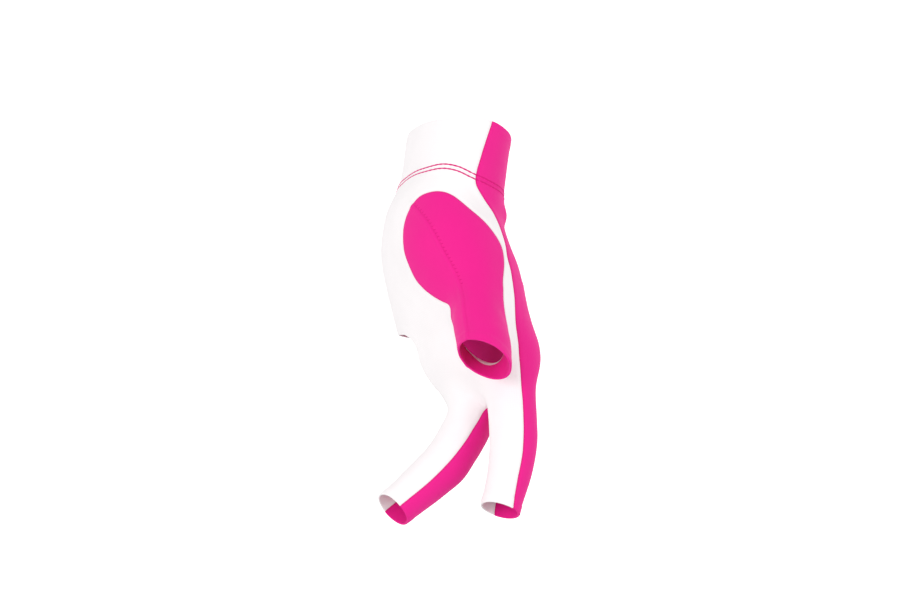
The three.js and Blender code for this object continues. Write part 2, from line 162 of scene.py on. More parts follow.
def seen_from(one, points):
    """Points seen from a limb: along, across (to the little finger), through (to the back), distance."""
    local = points - one["root"]
    along = local @ one["heading"]
    shift, turn, radial, ulnar, palmar, dorsal = one["section"](along)
    x = local @ one["side"] - shift
    y = local @ one["back"]
    cos, sin = np.cos(np.radians(turn)), np.sin(np.radians(turn))
    across = y * cos - x * sin
    through = x * cos + y * sin
    across_reach = np.where(across > 0, ulnar, radial)
    through_reach = np.where(through > 0, dorsal, palmar)
    a, b = np.abs(across) / across_reach, np.abs(through) / through_reach
    power = one["power"]
    radius = np.maximum((a**power + b**power) ** (1 / power), 1e-6)
    across_slope = (a / radius) ** (power - 1) / across_reach
    through_slope = (b / radius) ** (power - 1) / through_reach
    side = (radius - 1) / np.maximum(np.hypot(across_slope, through_slope), 1e-6)
    distance = -web(-side, one["end"] - along, one["end_roundness"])
    return along, across, through, np.maximum(distance, one["start"] - along)


def web(a, b, roundness):
    """The lesser of two distances, with a fillet of that roundness where they meet."""
    overlap = np.maximum(roundness - np.abs(a - b), 0) / roundness
    return np.minimum(a, b) - overlap * overlap * roundness / 4


def skin(points):
    """Distance from the skin of the worn form: below zero inside."""
    fingers = web(seen_from(INDEX, points)[3], seen_from(MIDDLE, points)[3], WEB_BETWEEN)
    hand = web(seen_from(HAND, points)[3], fingers, WEB_FINGERS)
    distance = web(hand, seen_from(THUMB, points)[3], WEB_THUMB)
    for place, spread, height in SWELLS:
        near = ((points - np.array(place)) ** 2).sum(-1)
        distance = distance - height * np.exp(-near / (2 * spread**2))
    return distance


def slope_of(field, points, step=0.03):
    ahead = [field(points + axis) - field(points - axis) for axis in np.eye(3) * step]
    return np.stack(ahead, -1) / (2 * step)


def onto_skin(points, rounds=3):
    for _ in range(rounds):
        slope = slope_of(skin, points)
        points = points - slope * (skin(points) / (slope**2).sum(-1))[:, None]
    return points


# Where the cloth is cut
# Hems at the wrist, the three finger tubes and the opening for the other two fingers, and the seams
# between the pieces. Each is a distance that is below zero on the side that its name says.
WRIST_HEM = smooth_table([(-24, -1.4), (-16, -1.1), (-8, -1.3), (0, -1.0), (6, -0.1), (12, 1.0), (20, 1.5)])
CUFF_SEAM = smooth_table([
    (-24, 20.8), (-19, 21.6), (-14, 21.7), (-8, 23.3), (-1, 26.0), (5, 27.3), (12, 28.3), (22, 28.2),
])
WRIST_SLANT, WRIST_SLANT_FROM, WRIST_SLANT_WIDTH = 0.12, -23, 31
INDEX_HEM, INDEX_HEM_SLANT = 71.6, 0.2
MIDDLE_HEM, MIDDLE_HEM_SLANT = 82.8, 0.22
OPENING_SIDE = smooth_table([
    (80, 13.5), (97, 12.5), (104, 14.5), (112, 14), (119, 13), (124, 14), (180, 26),
])
OPENING_TOP, OPENING_TOP_ACROSS, OPENING_TOP_SLANT = 91, 13, 3
OPENING_CORNER = 7
KNUCKLE_ALONG, KNUCKLE_ACROSS, KNUCKLE_SLANT = 124, 14, 1.05
BACK_SEAM = smooth_table([
    (-20, 4.5), (0, 3.5), (17, 1.9), (24, 1.0), (30, 1.4), (36, 5.6), (42, 9.7), (50, 11.0), (58, 10.6),
    (65, 8.7), (72, 7.8), (84, 4.3), (98, 0.0), (109, 0.6), (120, 2.4), (130, 3.2), (152, 3.6), (166, 1.8),
    (180, 0.5),
])
MIDDLE_SEAM = -0.5
THUMB_SEAM = smooth_table([
    (-5, -15), (17, -12.8), (35, -10.6), (53, -7.6), (67, -6.4), (92, -7.0), (110, -7.2),
])
PATCH_DEPTH = smooth_table([(20, 8), (45, 9.5), (58, 10.5), (66, 10), (76, 12), (90, 13)])
PATCH_HUG = smooth_table([(25, 14), (42, 9), (52, 5), (60, 2), (68, 0.8), (80, 0.6), (100, 1.2)])
PATCH_CORNER = 3
HUG_STEEPNESS = 4
# The edge of the thumb patch seen from the thumb side: to the back of the hand, and up
PATCH_CORNERS = [
    (-9.9, -22.7), (-16.8, -24.4), (-21.3, -28.9), (-24.2, -35.5), (-25.0, -43.1), (-24.2, -51),
    (-20.4, -60.3), (-16.8, -65.2), (-12.4, -69.0), (-8.4, -71.4), (-4.8, -73.4), (-4.0, -77),
    (-4.4, -84), (-6.5, -100), (-2, -114), (12, -120), (26, -114), (28, -98), (27, -84),
    (22.5, -74), (19.3, -65.5), (19.9, -55), (18.6, -47), (13.2, -38.6), (4.1, -30), (-3.2, -24.4),
]
THUMB_HEM_NORMAL = unit((-0.43, -0.61, -0.66))
THUMB_HEM_REACH = 110.5


def closed_curve(corners, steps=8):
    """A smooth closed line through the corners, with that many points from each to the next."""
    p1 = np.array(corners, float)
    p0, p2, p3 = np.roll(p1, 1, 0), np.roll(p1, -1, 0), np.roll(p1, -2, 0)
    t = (np.arange(steps) / steps)[:, None, None]
    bend = (2 * p1 - 2 * p2 + (p2 - p0) / 2 + (p3 - p1) / 2) * t**3
    bend = bend + (-3 * p1 + 3 * p2 - (p2 - p0) - (p3 - p1) / 2) * t**2 + (p2 - p0) / 2 * t + p1
    return bend.transpose(1, 0, 2).reshape(-1, 2)


PATCH_OUTLINE = closed_curve(PATCH_CORNERS)


def smoothstep(value, low, high):
    t = np.clip((value - low) / (high - low), 0, 1)
    return t * t * (3 - 2 * t)


def above_wrist_hem(points):
    along, across, through, _ = seen_from(HAND, points)
    palm_share = smoothstep(-through, -4, 20)
    slant = WRIST_SLANT * palm_share * np.clip(across - WRIST_SLANT_FROM, 0, WRIST_SLANT_WIDTH)
    return along - WRIST_HEM(through)[0] + slant


def in_cuff(points):
    along, _, through, _ = seen_from(HAND, points)
    return along - CUFF_SEAM(through)[0]


def on_one_limb(one, reach, points):
    """Keeps the cut across a limb's end off the other limbs."""
    others = [seen_from(other, points)[3] for other in LIMBS if other is not one]
    return np.maximum(reach, seen_from(one, points)[3] - np.minimum.reduce(others))


def past_index_hem(points):
    along, _, through, _ = seen_from(INDEX, points)
    return on_one_limb(INDEX, INDEX_HEM + INDEX_HEM_SLANT * through - along, points)


def past_middle_hem(points):
    along, _, through, _ = seen_from(MIDDLE, points)
    return on_one_limb(MIDDLE, MIDDLE_HEM + MIDDLE_HEM_SLANT * through - along, points)


def past_thumb_hem(points):
    return on_one_limb(THUMB, THUMB_HEM_REACH - points @ THUMB_HEM_NORMAL, points)


def in_opening(points):
    """The opening for two fingers: square on the palm side, and cut on a slant over the knuckles."""
    along, across, through, _ = seen_from(HAND, points)
    beside = across - OPENING_SIDE(along)[0]
    below = along - (OPENING_TOP - (across - OPENING_TOP_ACROSS) / OPENING_TOP_SLANT)
    palm = web(beside, below, OPENING_CORNER)
    slanted = along - KNUCKLE_ALONG + (across - KNUCKLE_ACROSS) * KNUCKLE_SLANT
    knuckles = web(beside, slanted / math.hypot(1, KNUCKLE_SLANT), OPENING_CORNER)
    share = smoothstep(through, -8, 8)
    return -(palm * (1 - share) + knuckles * share)


def in_palm_side(points):
    """The palm side of the seam between white and magenta: one line down the hand and index finger,
    and one of its own down the middle finger."""
    along, _, through, own = seen_from(HAND, points)
    _, _, middle_through, middle = seen_from(MIDDLE, points)
    other = np.minimum(own, seen_from(INDEX, points)[3])
    share = smoothstep(other - middle, -9, 9)
    return (through - BACK_SEAM(along)[0]) * (1 - share) + (middle_through - MIDDLE_SEAM) * share


def outside_outline(outline, places, at_once=4000):
    """Distance of flat places from a closed outline, below zero inside it."""
    ends = np.roll(outline, -1, 0)
    run = ends - outline
    found = []
    for some in np.array_split(places, len(places) // at_once + 1):
        off = some[:, None] - outline[None]
        t = np.clip((off * run).sum(-1) / (run**2).sum(-1), 0, 1)
        nearest = np.sqrt(((off - t[..., None] * run) ** 2).sum(-1)).min(1)
        spans = (outline[:, 1] > some[:, 1:2]) != (ends[:, 1] > some[:, 1:2])
        rise = np.where(run[:, 1] == 0, 1, run[:, 1])
        left = some[:, :1] < outline[:, 0] + (some[:, 1:2] - outline[:, 1]) / rise * run[:, 0]
        inside = ((spans & left).sum(1) % 2) == 1
        found.append(np.where(inside, -nearest, nearest))
    return np.concatenate(found)


def in_patch(points):
    along, across, _, distance = seen_from(THUMB, points)
    outline = outside_outline(PATCH_OUTLINE, points[:, [0, 2]])
    off_thumb = HUG_STEEPNESS * (distance - PATCH_HUG(along)[0])
    depth = web(PATCH_DEPTH(along)[0] - across, -off_thumb, PATCH_CORNER)
    return -web(-outline, depth, PATCH_CORNER)


def in_thumb_palm_side(points):
    along, _, through, _ = seen_from(THUMB, points)
    return through - THUMB_SEAM(along)[0]


# The skin as fine facets
# A net of small facets is laid over the skin and evened out. It is cut along the seams and hems, and
# it is made finer beside them, where the sewn edges dip.
CELL = 1.05
BLOCK = 6
# A corner nearer to a cut than this share of a cell is moved onto it
SNAP_SHARE = 0.24
# Each round of evening out makes this share of the move
EASE_SHARE = 0.6
GRID_LOW = np.array([-54.0, -122, -193])
GRID_SIZE = np.array([106.0, 174, 234])
NEIGHBOURS = ((0, 0), (-1, 0), (-1, -1), (0, -1))


def net_of_skin():
    """Points and four-sided facets of the skin, worked out only in blocks of the grid that it crosses."""
    blocks = np.ceil(GRID_SIZE / CELL / BLOCK).astype(int)
    centres = np.stack(np.meshgrid(*[np.arange(n) + 0.5 for n in blocks], indexing="ij"), -1)
    rough = skin((centres * BLOCK * CELL + GRID_LOW).reshape(-1, 3)).reshape(blocks)
    values = np.ones(blocks * BLOCK + 1)
    values[:-1, :-1, :-1] = rough.repeat(BLOCK, 0).repeat(BLOCK, 1).repeat(BLOCK, 2)
    near = np.argwhere(np.abs(rough) < BLOCK * CELL)
    steps = np.stack(np.meshgrid(*[np.arange(BLOCK + 1)] * 3, indexing="ij"), -1).reshape(-1, 3)
    nodes = np.unique((near[:, None] * BLOCK + steps).reshape(-1, 3), axis=0)
    values[tuple(nodes.T)] = skin(nodes * CELL + GRID_LOW)
    inside = values < 0
    corners = np.array([(i, j, k) for i in (0, 1) for j in (0, 1) for k in (0, 1)])
    cells = np.array(inside.shape) - 1
    count = sum(
        inside[i:cells[0] + i, j:cells[1] + j, k:cells[2] + k].astype(int) for i, j, k in corners
    )
    live = np.argwhere((count > 0) & (count < 8))
    number = np.full(count.shape, -1)
    number[tuple(live.T)] = np.arange(len(live))
    total = np.zeros((len(live), 3))
    crossings = np.zeros(len(live))
    for corner in corners:
        for axis in range(3):
            if corner[axis]:
                continue
            other = corner.copy()
            other[axis] = 1
            a = values[tuple((live + corner).T)]
            b = values[tuple((live + other).T)]
            crossed = (a < 0) != (b < 0)
            share = np.where(crossed, a / np.where(crossed, a - b, 1), 0)
            place = corner + share[:, None] * (other - corner)
            total += np.where(crossed[:, None], place, 0)
            crossings += crossed
    points = (live + total / crossings[:, None]) * CELL + GRID_LOW
    quads = []
    for axis in range(3):
        first, second = (axis + 1) % 3, (axis + 2) % 3
        here = np.moveaxis(inside, axis, 0)
        for outward in (True, False):
            pair = here[:-1] & ~here[1:] if outward else ~here[:-1] & here[1:]
            edge = np.argwhere(np.moveaxis(pair, 0, axis))
            ring = []
            for step_first, step_second in NEIGHBOURS:
                cell = edge.copy()
                cell[:, first] += step_first
                cell[:, second] += step_second
                ring.append(number[tuple(cell.T)])
            ring = np.stack(ring, 1)
            quads.append(ring if outward else ring[:, ::-1])
    return points, np.concatenate(quads)


def edges_of(faces):
    return np.concatenate([faces[:, [0, 1]], faces[:, [1, 2]], faces[:, [2, 0]]])


def even_out(points, faces, rounds=4):
    """Moves the points along the skin, each towards the middle of its neighbours."""
    pairs = np.concatenate([edges_of(faces), edges_of(faces)[:, ::-1]])
    number = np.bincount(pairs[:, 0], minlength=len(points))
    for _ in range(rounds):
        total = [np.bincount(pairs[:, 0], places, len(points)) for places in points[pairs[:, 1]].T]
        move = np.stack(total, -1) / number[:, None] - points
        normal = unit(slope_of(skin, points))
        move -= (move * normal).sum(-1, keepdims=True) * normal
        points = onto_skin(points + EASE_SHARE * move, 1)
    return points


def divide(points, faces, middles):
    """Faces once some edges (ab, bc, ca) have a new corner in the middle, and the face each comes from."""
    marks = (middles >= 0).sum(1)
    parts = [faces[marks == 0]]
    sources = [np.flatnonzero(marks == 0)]
    for amount in (1, 2, 3):
        rows = np.flatnonzero(marks == amount)
        if amount == 1:
            first = np.argmax(middles[rows] >= 0, 1)
        else:
            first = (np.argmax(middles[rows] < 0, 1) + 2) % 3
        turn = (np.arange(3) + first[:, None] * (amount < 3)) % 3
        a, b, c = np.take_along_axis(faces[rows], turn, 1).T
        ab, bc, ca = np.take_along_axis(middles[rows], turn, 1).T
        if amount == 1:
            made = [(a, ab, c), (ab, b, c)]
        elif amount == 2:
            ab_to_c = np.linalg.norm(points[ab] - points[c], axis=-1)
            b_to_ca = np.linalg.norm(points[b] - points[ca], axis=-1)
            short = ab_to_c < b_to_ca
            made = [(a, ab, ca), (ab, b, np.where(short, c, ca)), (np.where(short, ab, b), c, ca)]
        else:
            made = [(a, ab, ca), (ab, b, bc), (ca, bc, c), (ab, bc, ca)]
        for corners in made:
            parts.append(np.stack(corners, 1))
            sources.append(rows)
    return np.concatenate(parts), np.concatenate(sources)


def new_corners(points, faces, marked, share):
    """Puts a corner on each marked edge of the faces, and gives the corner's number for each edge."""
    ends = np.stack([faces, np.roll(faces, -1, 1)], -1)
    names = ends.min(-1) * len(points) + ends.max(-1)
    chosen, first, back = np.unique(names[marked], return_index=True, return_inverse=True)
    pair = ends[marked][first]
    t = share[marked][first][:, None]
    made = onto_skin(points[pair[:, 0]] * (1 - t) + points[pair[:, 1]] * t)
    middles = np.full(faces.shape, -1)
    middles[marked] = len(points) + back.reshape(-1)
    other = np.searchsorted(chosen, names)
    other = np.minimum(other, len(chosen) - 1)
    shared = (middles < 0) & (chosen[other] == names)
    middles[shared] = len(points) + other[shared]
    return np.concatenate([points, made]), middles


def cut(cloth, region, field, new_name):
    """Cuts a region where the field is zero. The side below zero gets the new name."""
    points, faces, regions, on_cut = cloth
    own = regions == region
    used = np.unique(faces[own])
    value = np.full(len(points), 1.0)
    value[used] = field(points[used])
    snap = SNAP_SHARE * CELL
    value[on_cut & (np.abs(value) < snap / 2)] = 0
    near = used[(np.abs(value[used]) < snap) & ~on_cut[used]]
    place = points[near]
    for _ in range(3):
        normal = unit(slope_of(skin, place))
        slope = slope_of(field, place)
        slope -= (slope * normal).sum(-1, keepdims=True) * normal
        place = onto_skin(place - slope * (field(place) / (slope**2).sum(-1))[:, None], 1)
    points = points.copy()
    points[near] = place
    value[near] = 0
    start, end = value[faces], value[np.roll(faces, -1, 1)]
    crossed = (start * end < 0) & own[:, None]
    share = np.where(crossed, start / np.where(crossed, start - end, 1), 0)
    count = len(points)
    points, middles = new_corners(points, faces, crossed, share)
    value = np.concatenate([value, np.zeros(len(points) - count)])
    on_cut = np.concatenate([on_cut, np.ones(len(points) - count, bool)])
    on_cut[near] = True
    faces, sources = divide(points, faces, middles)
    regions = regions[sources]
    own = np.flatnonzero(regions == region)
    side = value[faces[own]].sum(1)
    flat = np.flatnonzero((value[faces[own]] == 0).all(1))
    if len(flat):
        side[flat] = field(points[faces[own[flat]]].mean(1))
    regions[own[side < 0]] = new_name
    return points, faces, regions, on_cut


def quads_to_facets(points, quads):
    short = np.linalg.norm(points[quads[:, 0]] - points[quads[:, 2]], axis=-1)
    long = np.linalg.norm(points[quads[:, 1]] - points[quads[:, 3]], axis=-1)
    quads = np.where((short <= long)[:, None], quads, np.roll(quads, -1, 1))
    return np.concatenate([quads[:, [0, 1, 2]], quads[:, [0, 2, 3]]])


LEFT_OUT, GLOVE, THUMB_BACK, THUMB_PALM, CUFF_BACK, CUFF_PALM, PALM = range(7)
skin_points, skin_quads = net_of_skin()
skin_points = onto_skin(skin_points)
skin_faces = quads_to_facets(skin_points, skin_quads)
skin_points = even_out(skin_points, skin_faces)
cloth = (skin_points, skin_faces, np.full(len(skin_faces), GLOVE), np.zeros(len(skin_points), bool))
for region, field, new_name in (
    (GLOVE, above_wrist_hem, LEFT_OUT),
    (GLOVE, past_index_hem, LEFT_OUT),
    (GLOVE, past_middle_hem, LEFT_OUT),
    (GLOVE, past_thumb_hem, LEFT_OUT),
    (GLOVE, in_opening, LEFT_OUT),
    (GLOVE, in_patch, THUMB_BACK),
    (GLOVE, in_cuff, CUFF_BACK),
    (THUMB_BACK, in_thumb_palm_side, THUMB_PALM),
    (CUFF_BACK, in_palm_side, CUFF_PALM),
    (GLOVE, in_palm_side, PALM),
):
    cloth = cut(cloth, region, field, new_name)


# Sewn edges
# At a seam both pieces turn under, so the cloth dips into a fine valley with a slight welt beside it.
# At a free edge it is turned once and lies a little thicker, and the thumb seam stands up as a rib.
REACH = 9.0
FINE_BAND = 1.7
SEAM_DIP, SEAM_DIP_WIDTH = 0.20, 0.55
SEAM_WELT, SEAM_WELT_AT, SEAM_WELT_WIDTH = 0.08, 1.9, 1.0
CUFF_SHARE = 0.35
HEM_WELT, HEM_WIDTH, HEM_SLOPE = 0.20, 4.2, 0.8
RIB_HEIGHT, RIB_AT, RIB_WIDTH = 0.30, -1.4, 1.2
# Slight unevenness of stretched cloth: height, size and seed
UNEVEN = ((0.20, 15, 1), (0.09, 6, 2))


def border_edges(faces, regions):
    """Edges where a region ends, each with its own region and the one across it."""
    edges = edges_of(faces)
    owner = np.tile(regions, 3)
    size = faces.max() + 1
    names = edges[:, 0] * size + edges[:, 1]
    order = np.argsort(names)
    back = edges[:, 1] * size + edges[:, 0]
    found = np.searchsorted(names[order], back)
    found = np.minimum(found, len(order) - 1)
    matches = names[order][found] == back
    across = np.where(matches, owner[order][found], LEFT_OUT)
    border = across != owner
    return edges[border], owner[border], across[border]


def tree_of(points):
    tree = KDTree(len(points))
    for n, point in enumerate(points):
        tree.insert(point, n)
    tree.balance()
    return tree


def distance_to(points, edges, steps=5):
    """Distance of every point from the nearest of the edges, no more than REACH."""
    t = (np.arange(steps) / steps)[:, None, None]
    tree = tree_of((points[edges[:, 0]] * (1 - t) + points[edges[:, 1]] * t).reshape(-1, 3))
    return np.array([min(tree.find(point)[2], REACH) for point in points])


def finer_beside(cloth, band):
    """The cloth alone, with its facets divided where they lie within the band beside an edge."""
    points, faces, regions, _ = cloth
    kept = regions != LEFT_OUT
    faces, regions = faces[kept], regions[kept]
    edges, _, _ = border_edges(faces, regions)
    near = distance_to(points, edges) < band
    marked = near[faces].any(1)
    edge_marked = np.repeat(marked[:, None], 3, 1)
    points, middles = new_corners(points, faces, edge_marked, np.full(faces.shape, 0.5))
    faces, sources = divide(points, faces, middles)
    return points, faces, regions[sources]


cloth_points, cloth_faces, cloth_regions = finer_beside(cloth, FINE_BAND)
seam_edges, seam_owner, seam_across = border_edges(cloth_faces, cloth_regions)
cuffs = (CUFF_BACK, CUFF_PALM)
thumbs = (THUMB_BACK, THUMB_PALM)
is_hem = seam_across == LEFT_OUT
at_cuff_seam = ~is_hem & (np.isin(seam_owner, cuffs) != np.isin(seam_across, cuffs))
is_rib = np.isin(seam_owner, thumbs) & np.isin(seam_across, thumbs)
from_hem = distance_to(cloth_points, seam_edges[is_hem])
from_cuff_seam = distance_to(cloth_points, seam_edges[at_cuff_seam])
from_rib = distance_to(cloth_points, seam_edges[is_rib])
from_seam = distance_to(cloth_points, seam_edges[~is_hem & ~at_cuff_seam & ~is_rib])


def bell(distance, centre, width):
    return np.exp(-(((distance - centre) / width) ** 2))


def soft_noise(points, size, seed):
    offset = Vector((seed * 17.3, seed * 5.1, seed * 9.7))
    return np.array([noise.noise(Vector(point) / size + offset) for point in points])


relief = SEAM_WELT * bell(from_seam, SEAM_WELT_AT, SEAM_WELT_WIDTH)
relief -= SEAM_DIP * bell(from_seam, 0, SEAM_DIP_WIDTH)
relief -= CUFF_SHARE * SEAM_DIP * bell(from_cuff_seam, 0, SEAM_DIP_WIDTH)
relief += HEM_WELT * (1 - smoothstep(from_hem, HEM_WIDTH - HEM_SLOPE, HEM_WIDTH))
rib_side = np.where(in_thumb_palm_side(cloth_points) < 0, -from_rib, from_rib)
relief += np.where(from_rib < REACH, RIB_HEIGHT * bell(rib_side, RIB_AT, RIB_WIDTH), 0)
for height, size, seed in UNEVEN:
    relief += height * soft_noise(cloth_points, size, seed)


def surface_slope(points, faces, value):
    """Slope of a value over the facets, at each corner."""
    a, b, c = (points[faces[:, n]] for n in range(3))
    area = np.cross(b - a, c - a)
    double = np.linalg.norm(area, axis=-1, keepdims=True)
    up = area / np.maximum(double, 1e-9)
    va, vb, vc = (value[faces[:, n]][:, None] for n in range(3))
    slope = np.cross(up, va * (c - b) + vb * (a - c) + vc * (b - a))
    total = np.zeros_like(points)
    weight = np.zeros(len(points))
    for n in range(3):
        for axis in range(3):
            total[:, axis] += np.bincount(faces[:, n], slope[:, axis], len(points))
        weight += np.bincount(faces[:, n], double[:, 0], len(points))
    return total / np.maximum(weight, 1e-9)[:, None]


cloth_normals = unit(slope_of(skin, cloth_points))
relief_slope = surface_slope(cloth_points, cloth_faces, relief)
relief_slope -= (relief_slope * cloth_normals).sum(-1, keepdims=True) * cloth_normals
shaded_normals = unit(cloth_normals - relief_slope)
raised_points = cloth_points + cloth_normals * relief[:, None]


# Cloth pieces as solid walls
# Each piece is jersey with its turned edge, about a millimetre through. The edge of a hem is rounded
# as a fold is, and at a seam the two pieces face each other across a hair's breadth.
THICKNESS = 1.0
SEAM_DRAW = 0.07
HEM_ROUND = 1.0
SEAM_ROUND = 0.12
ROUND_STEPS = (45, 90, 135)
UV_PER_MM = 0.1


def weave_places(points, face_corners):
    """Where each face corner lies on the flat cloth, in centimetres: round the limb, and along it."""
    centre = points[face_corners].mean(1)
    seen = [seen_from(one, centre) for one in LIMBS]
    nearest = np.argmin(np.stack([s[3] for s in seen]), 0)
    places = np.zeros(face_corners.shape + (2,))
    for n, one in enumerate(LIMBS):
        rows = np.flatnonzero(nearest == n)
        along, across, through, _ = seen_from(one, points[face_corners[rows]].reshape(-1, 3))
        middle = np.repeat(np.arctan2(seen[n][2][rows], seen[n][1][rows]), 3)
        angle = np.arctan2(through, across)
        angle = middle + (angle - middle + np.pi) % (2 * np.pi) - np.pi
        radius = sum(one["section"](along)[2:]) / 4
        places[rows] = np.stack([angle * radius, along], -1).reshape(-1, 3, 2) * UV_PER_MM
    return places


def cloth_piece(name, region, material):
    """A region as a wall: its outer face, its inner face, and rings of points that round its edges."""
    own = cloth_faces[cloth_regions == region]
    used, faces = np.unique(own, return_inverse=True)
    faces = faces.reshape(-1, 3)
    outer, normal, shaded = raised_points[used], cloth_normals[used], shaded_normals[used]
    edges = edges_of(faces)
    names = edges[:, 0] * len(used) + edges[:, 1]
    rim = edges[~np.isin(names, edges[:, 1] * len(used) + edges[:, 0])]
    hem_names = {tuple(sorted(edge)) for edge in seam_edges[is_hem]}
    rim_is_hem = np.array([tuple(sorted((used[a], used[b]))) in hem_names for a, b in rim])
    inward = np.zeros_like(outer)
    hem_share = np.zeros(len(used))
    tangent = unit(outer[rim[:, 1]] - outer[rim[:, 0]])
    for end in (0, 1):
        push = np.cross(normal[rim[:, end]], tangent)
        np.add.at(inward, rim[:, end], push)
        hem_share[rim[rim_is_hem, end]] = 1
    corner = np.unique(rim)
    inward[corner] = unit(inward[corner])
    draw = np.where(hem_share > 0, 0.0, SEAM_DRAW)
    outer = outer + inward * draw[:, None]
    inner = outer - normal * THICKNESS
    count = len(used)
    rim_number = np.full(count, -1)
    rim_number[corner] = np.arange(len(corner))
    rings = []
    ring_normals = []
    roundness = np.where(hem_share[corner] > 0, HEM_ROUND, SEAM_ROUND)[:, None] * THICKNESS / 2
    for step in ROUND_STEPS:
        angle = math.radians(step)
        up = normal[corner] * (math.cos(angle) * THICKNESS / 2 - THICKNESS / 2)
        rings.append(outer[corner] + up - inward[corner] * math.sin(angle) * roundness)
        ring_normals.append(unit(normal[corner] * math.cos(angle) - inward[corner] * math.sin(angle)))
    first_rings = [2 * count + len(corner) * n for n in range(len(ROUND_STEPS))]
    layers = [rim, *[rim_number[rim] + first for first in first_rings], rim + count]
    triangles = [faces, faces[:, ::-1] + count]
    sources = [faces, faces[:, ::-1]]
    for upper, lower in zip(layers[:-1], layers[1:]):
        triangles.append(np.stack([upper[:, 0], lower[:, 0], upper[:, 1]], 1))
        triangles.append(np.stack([upper[:, 1], lower[:, 0], lower[:, 1]], 1))
        sources.append(np.stack([rim[:, 0], rim[:, 0], rim[:, 1]], 1))
        sources.append(np.stack([rim[:, 1], rim[:, 0], rim[:, 1]], 1))
    triangles = np.concatenate(triangles)
    sources = np.concatenate(sources)
    places = np.concatenate([outer, inner, *rings]) * MM
    mesh = bpy.data.meshes.new(name)
    mesh.from_pydata(places.tolist(), [], triangles.tolist())
    mesh.shade_smooth()
    weave = mesh.uv_layers.new(name="weave")
    weave.data.foreach_set("uv", weave_places(cloth_points[used], sources).astype(np.float32).ravel())
    # Distance from a seam, kept on the mesh so the jersey can paint shade in the seam valleys
    edge_distance = from_seam[used]
    near_edge = mesh.attributes.new("from_seam", "FLOAT", "POINT")
    per_point = np.concatenate([edge_distance, edge_distance, *[edge_distance[corner]] * len(ROUND_STEPS)])
    near_edge.data.foreach_set("value", per_point.astype(np.float32))
    mesh.normals_split_custom_set_from_vertices(np.concatenate([shaded, -normal, *ring_normals]).tolist())
    mesh.materials.append(material)
    piece = bpy.data.objects.new(name, mesh)
    bpy.context.scene.collection.objects.link(piece)
    return piece


# Jersey finish
# Polyester and elastane jersey: fine columns of loops, matt, with a faint bloom where light grazes it.
# The dye is even. The colour is painted a touch darker where the cloth turns into a seam: painted shade in
# the seam's valley.
WALE, COURSE = 0.52, 0.40


def linear(red, green, blue):
    """A colour in the shader's own scale, from the usual 0 to 255."""
    channels = [value / 255 for value in (red, green, blue)]
    return tuple(c / 12.92 if c <= 0.04045 else ((c + 0.055) / 1.055) ** 2.4 for c in channels) + (1.0,)


def jersey(name, color, seam_shade_color, roughness, sheen, sheen_tint):
    material = bpy.data.materials.new(name)
    material.use_nodes = True
    nodes, links = material.node_tree.nodes, material.node_tree.links
    shader = nodes["Principled BSDF"]
    shader.inputs["Roughness"].default_value = roughness
    shader.inputs["Specular IOR Level"].default_value = 0.25
    shader.inputs["Sheen Weight"].default_value = sheen
    shader.inputs["Sheen Roughness"].default_value = 0.45
    shader.inputs["Sheen Tint"].default_value = sheen_tint
    weave = nodes.new("ShaderNodeUVMap")
    weave.uv_map = "weave"
    heights = []
    for direction, size in (("X", WALE), ("Y", COURSE)):
        loops = nodes.new("ShaderNodeTexWave")
        loops.wave_type = "BANDS"
        loops.bands_direction = direction
        loops.inputs["Scale"].default_value = math.pi / (2 * size)
        loops.inputs["Distortion"].default_value = 0.6
        loops.inputs["Detail"].default_value = 1.0
        links.new(weave.outputs["UV"], loops.inputs["Vector"])
        heights.append(loops)
    loop_height = nodes.new("ShaderNodeMath")
    loop_height.operation = "MULTIPLY"
    links.new(heights[0].outputs["Fac"], loop_height.inputs[0])
    links.new(heights[1].outputs["Fac"], loop_height.inputs[1])
    bump = nodes.new("ShaderNodeBump")
    bump.inputs["Strength"].default_value = 0.35
    bump.inputs["Distance"].default_value = 0.00006
    links.new(loop_height.outputs["Value"], bump.inputs["Height"])
    links.new(bump.outputs["Normal"], shader.inputs["Normal"])
    coordinates = nodes.new("ShaderNodeTexCoord")
    uneven = nodes.new("ShaderNodeTexNoise")
    uneven.inputs["Scale"].default_value = 55
    uneven.inputs["Detail"].default_value = 3
    links.new(coordinates.outputs["Object"], uneven.inputs["Vector"])
    dye = nodes.new("ShaderNodeMix")
    dye.data_type = "RGBA"
    dye.inputs["A"].default_value = tuple(c * 0.965 for c in color[:3]) + (1.0,)
    dye.inputs["B"].default_value = tuple(min(c * 1.035, 1) for c in color[:3]) + (1.0,)
    links.new(uneven.outputs["Fac"], dye.inputs["Factor"])
    # Painted shade: within about a millimetre of a seam the base colour turns to the seam shade colour
    distance = nodes.new("ShaderNodeAttribute")
    distance.attribute_name = "from_seam"
    near = nodes.new("ShaderNodeMapRange")
    near.inputs["From Min"].default_value = 0.1
    near.inputs["From Max"].default_value = 0.9
    near.inputs["To Min"].default_value = 1.0
    near.inputs["To Max"].default_value = 0.0
    links.new(distance.outputs["Fac"], near.inputs["Value"])
    edge = nodes.new("ShaderNodeMix")
    edge.data_type = "RGBA"
    edge.inputs["B"].default_value = seam_shade_color
    links.new(dye.outputs["Result"], edge.inputs["A"])
    links.new(near.outputs["Result"], edge.inputs["Factor"])
    links.new(edge.outputs["Result"], shader.inputs["Base Color"])
    return material


magenta_jersey = jersey(
    "magenta_jersey",
    color=linear(237, 16, 141),
    seam_shade_color=linear(222, 12, 124),
    roughness=0.75,
    sheen=0.12,
    sheen_tint=(1.0, 0.5, 0.8, 1.0),
)
white_jersey = jersey(
    "white_jersey",
    color=linear(250, 246, 247),
    seam_shade_color=linear(243, 234, 237),
    roughness=0.80,
    sheen=0.10,
    sheen_tint=(1.0, 0.95, 0.97, 1.0),
)


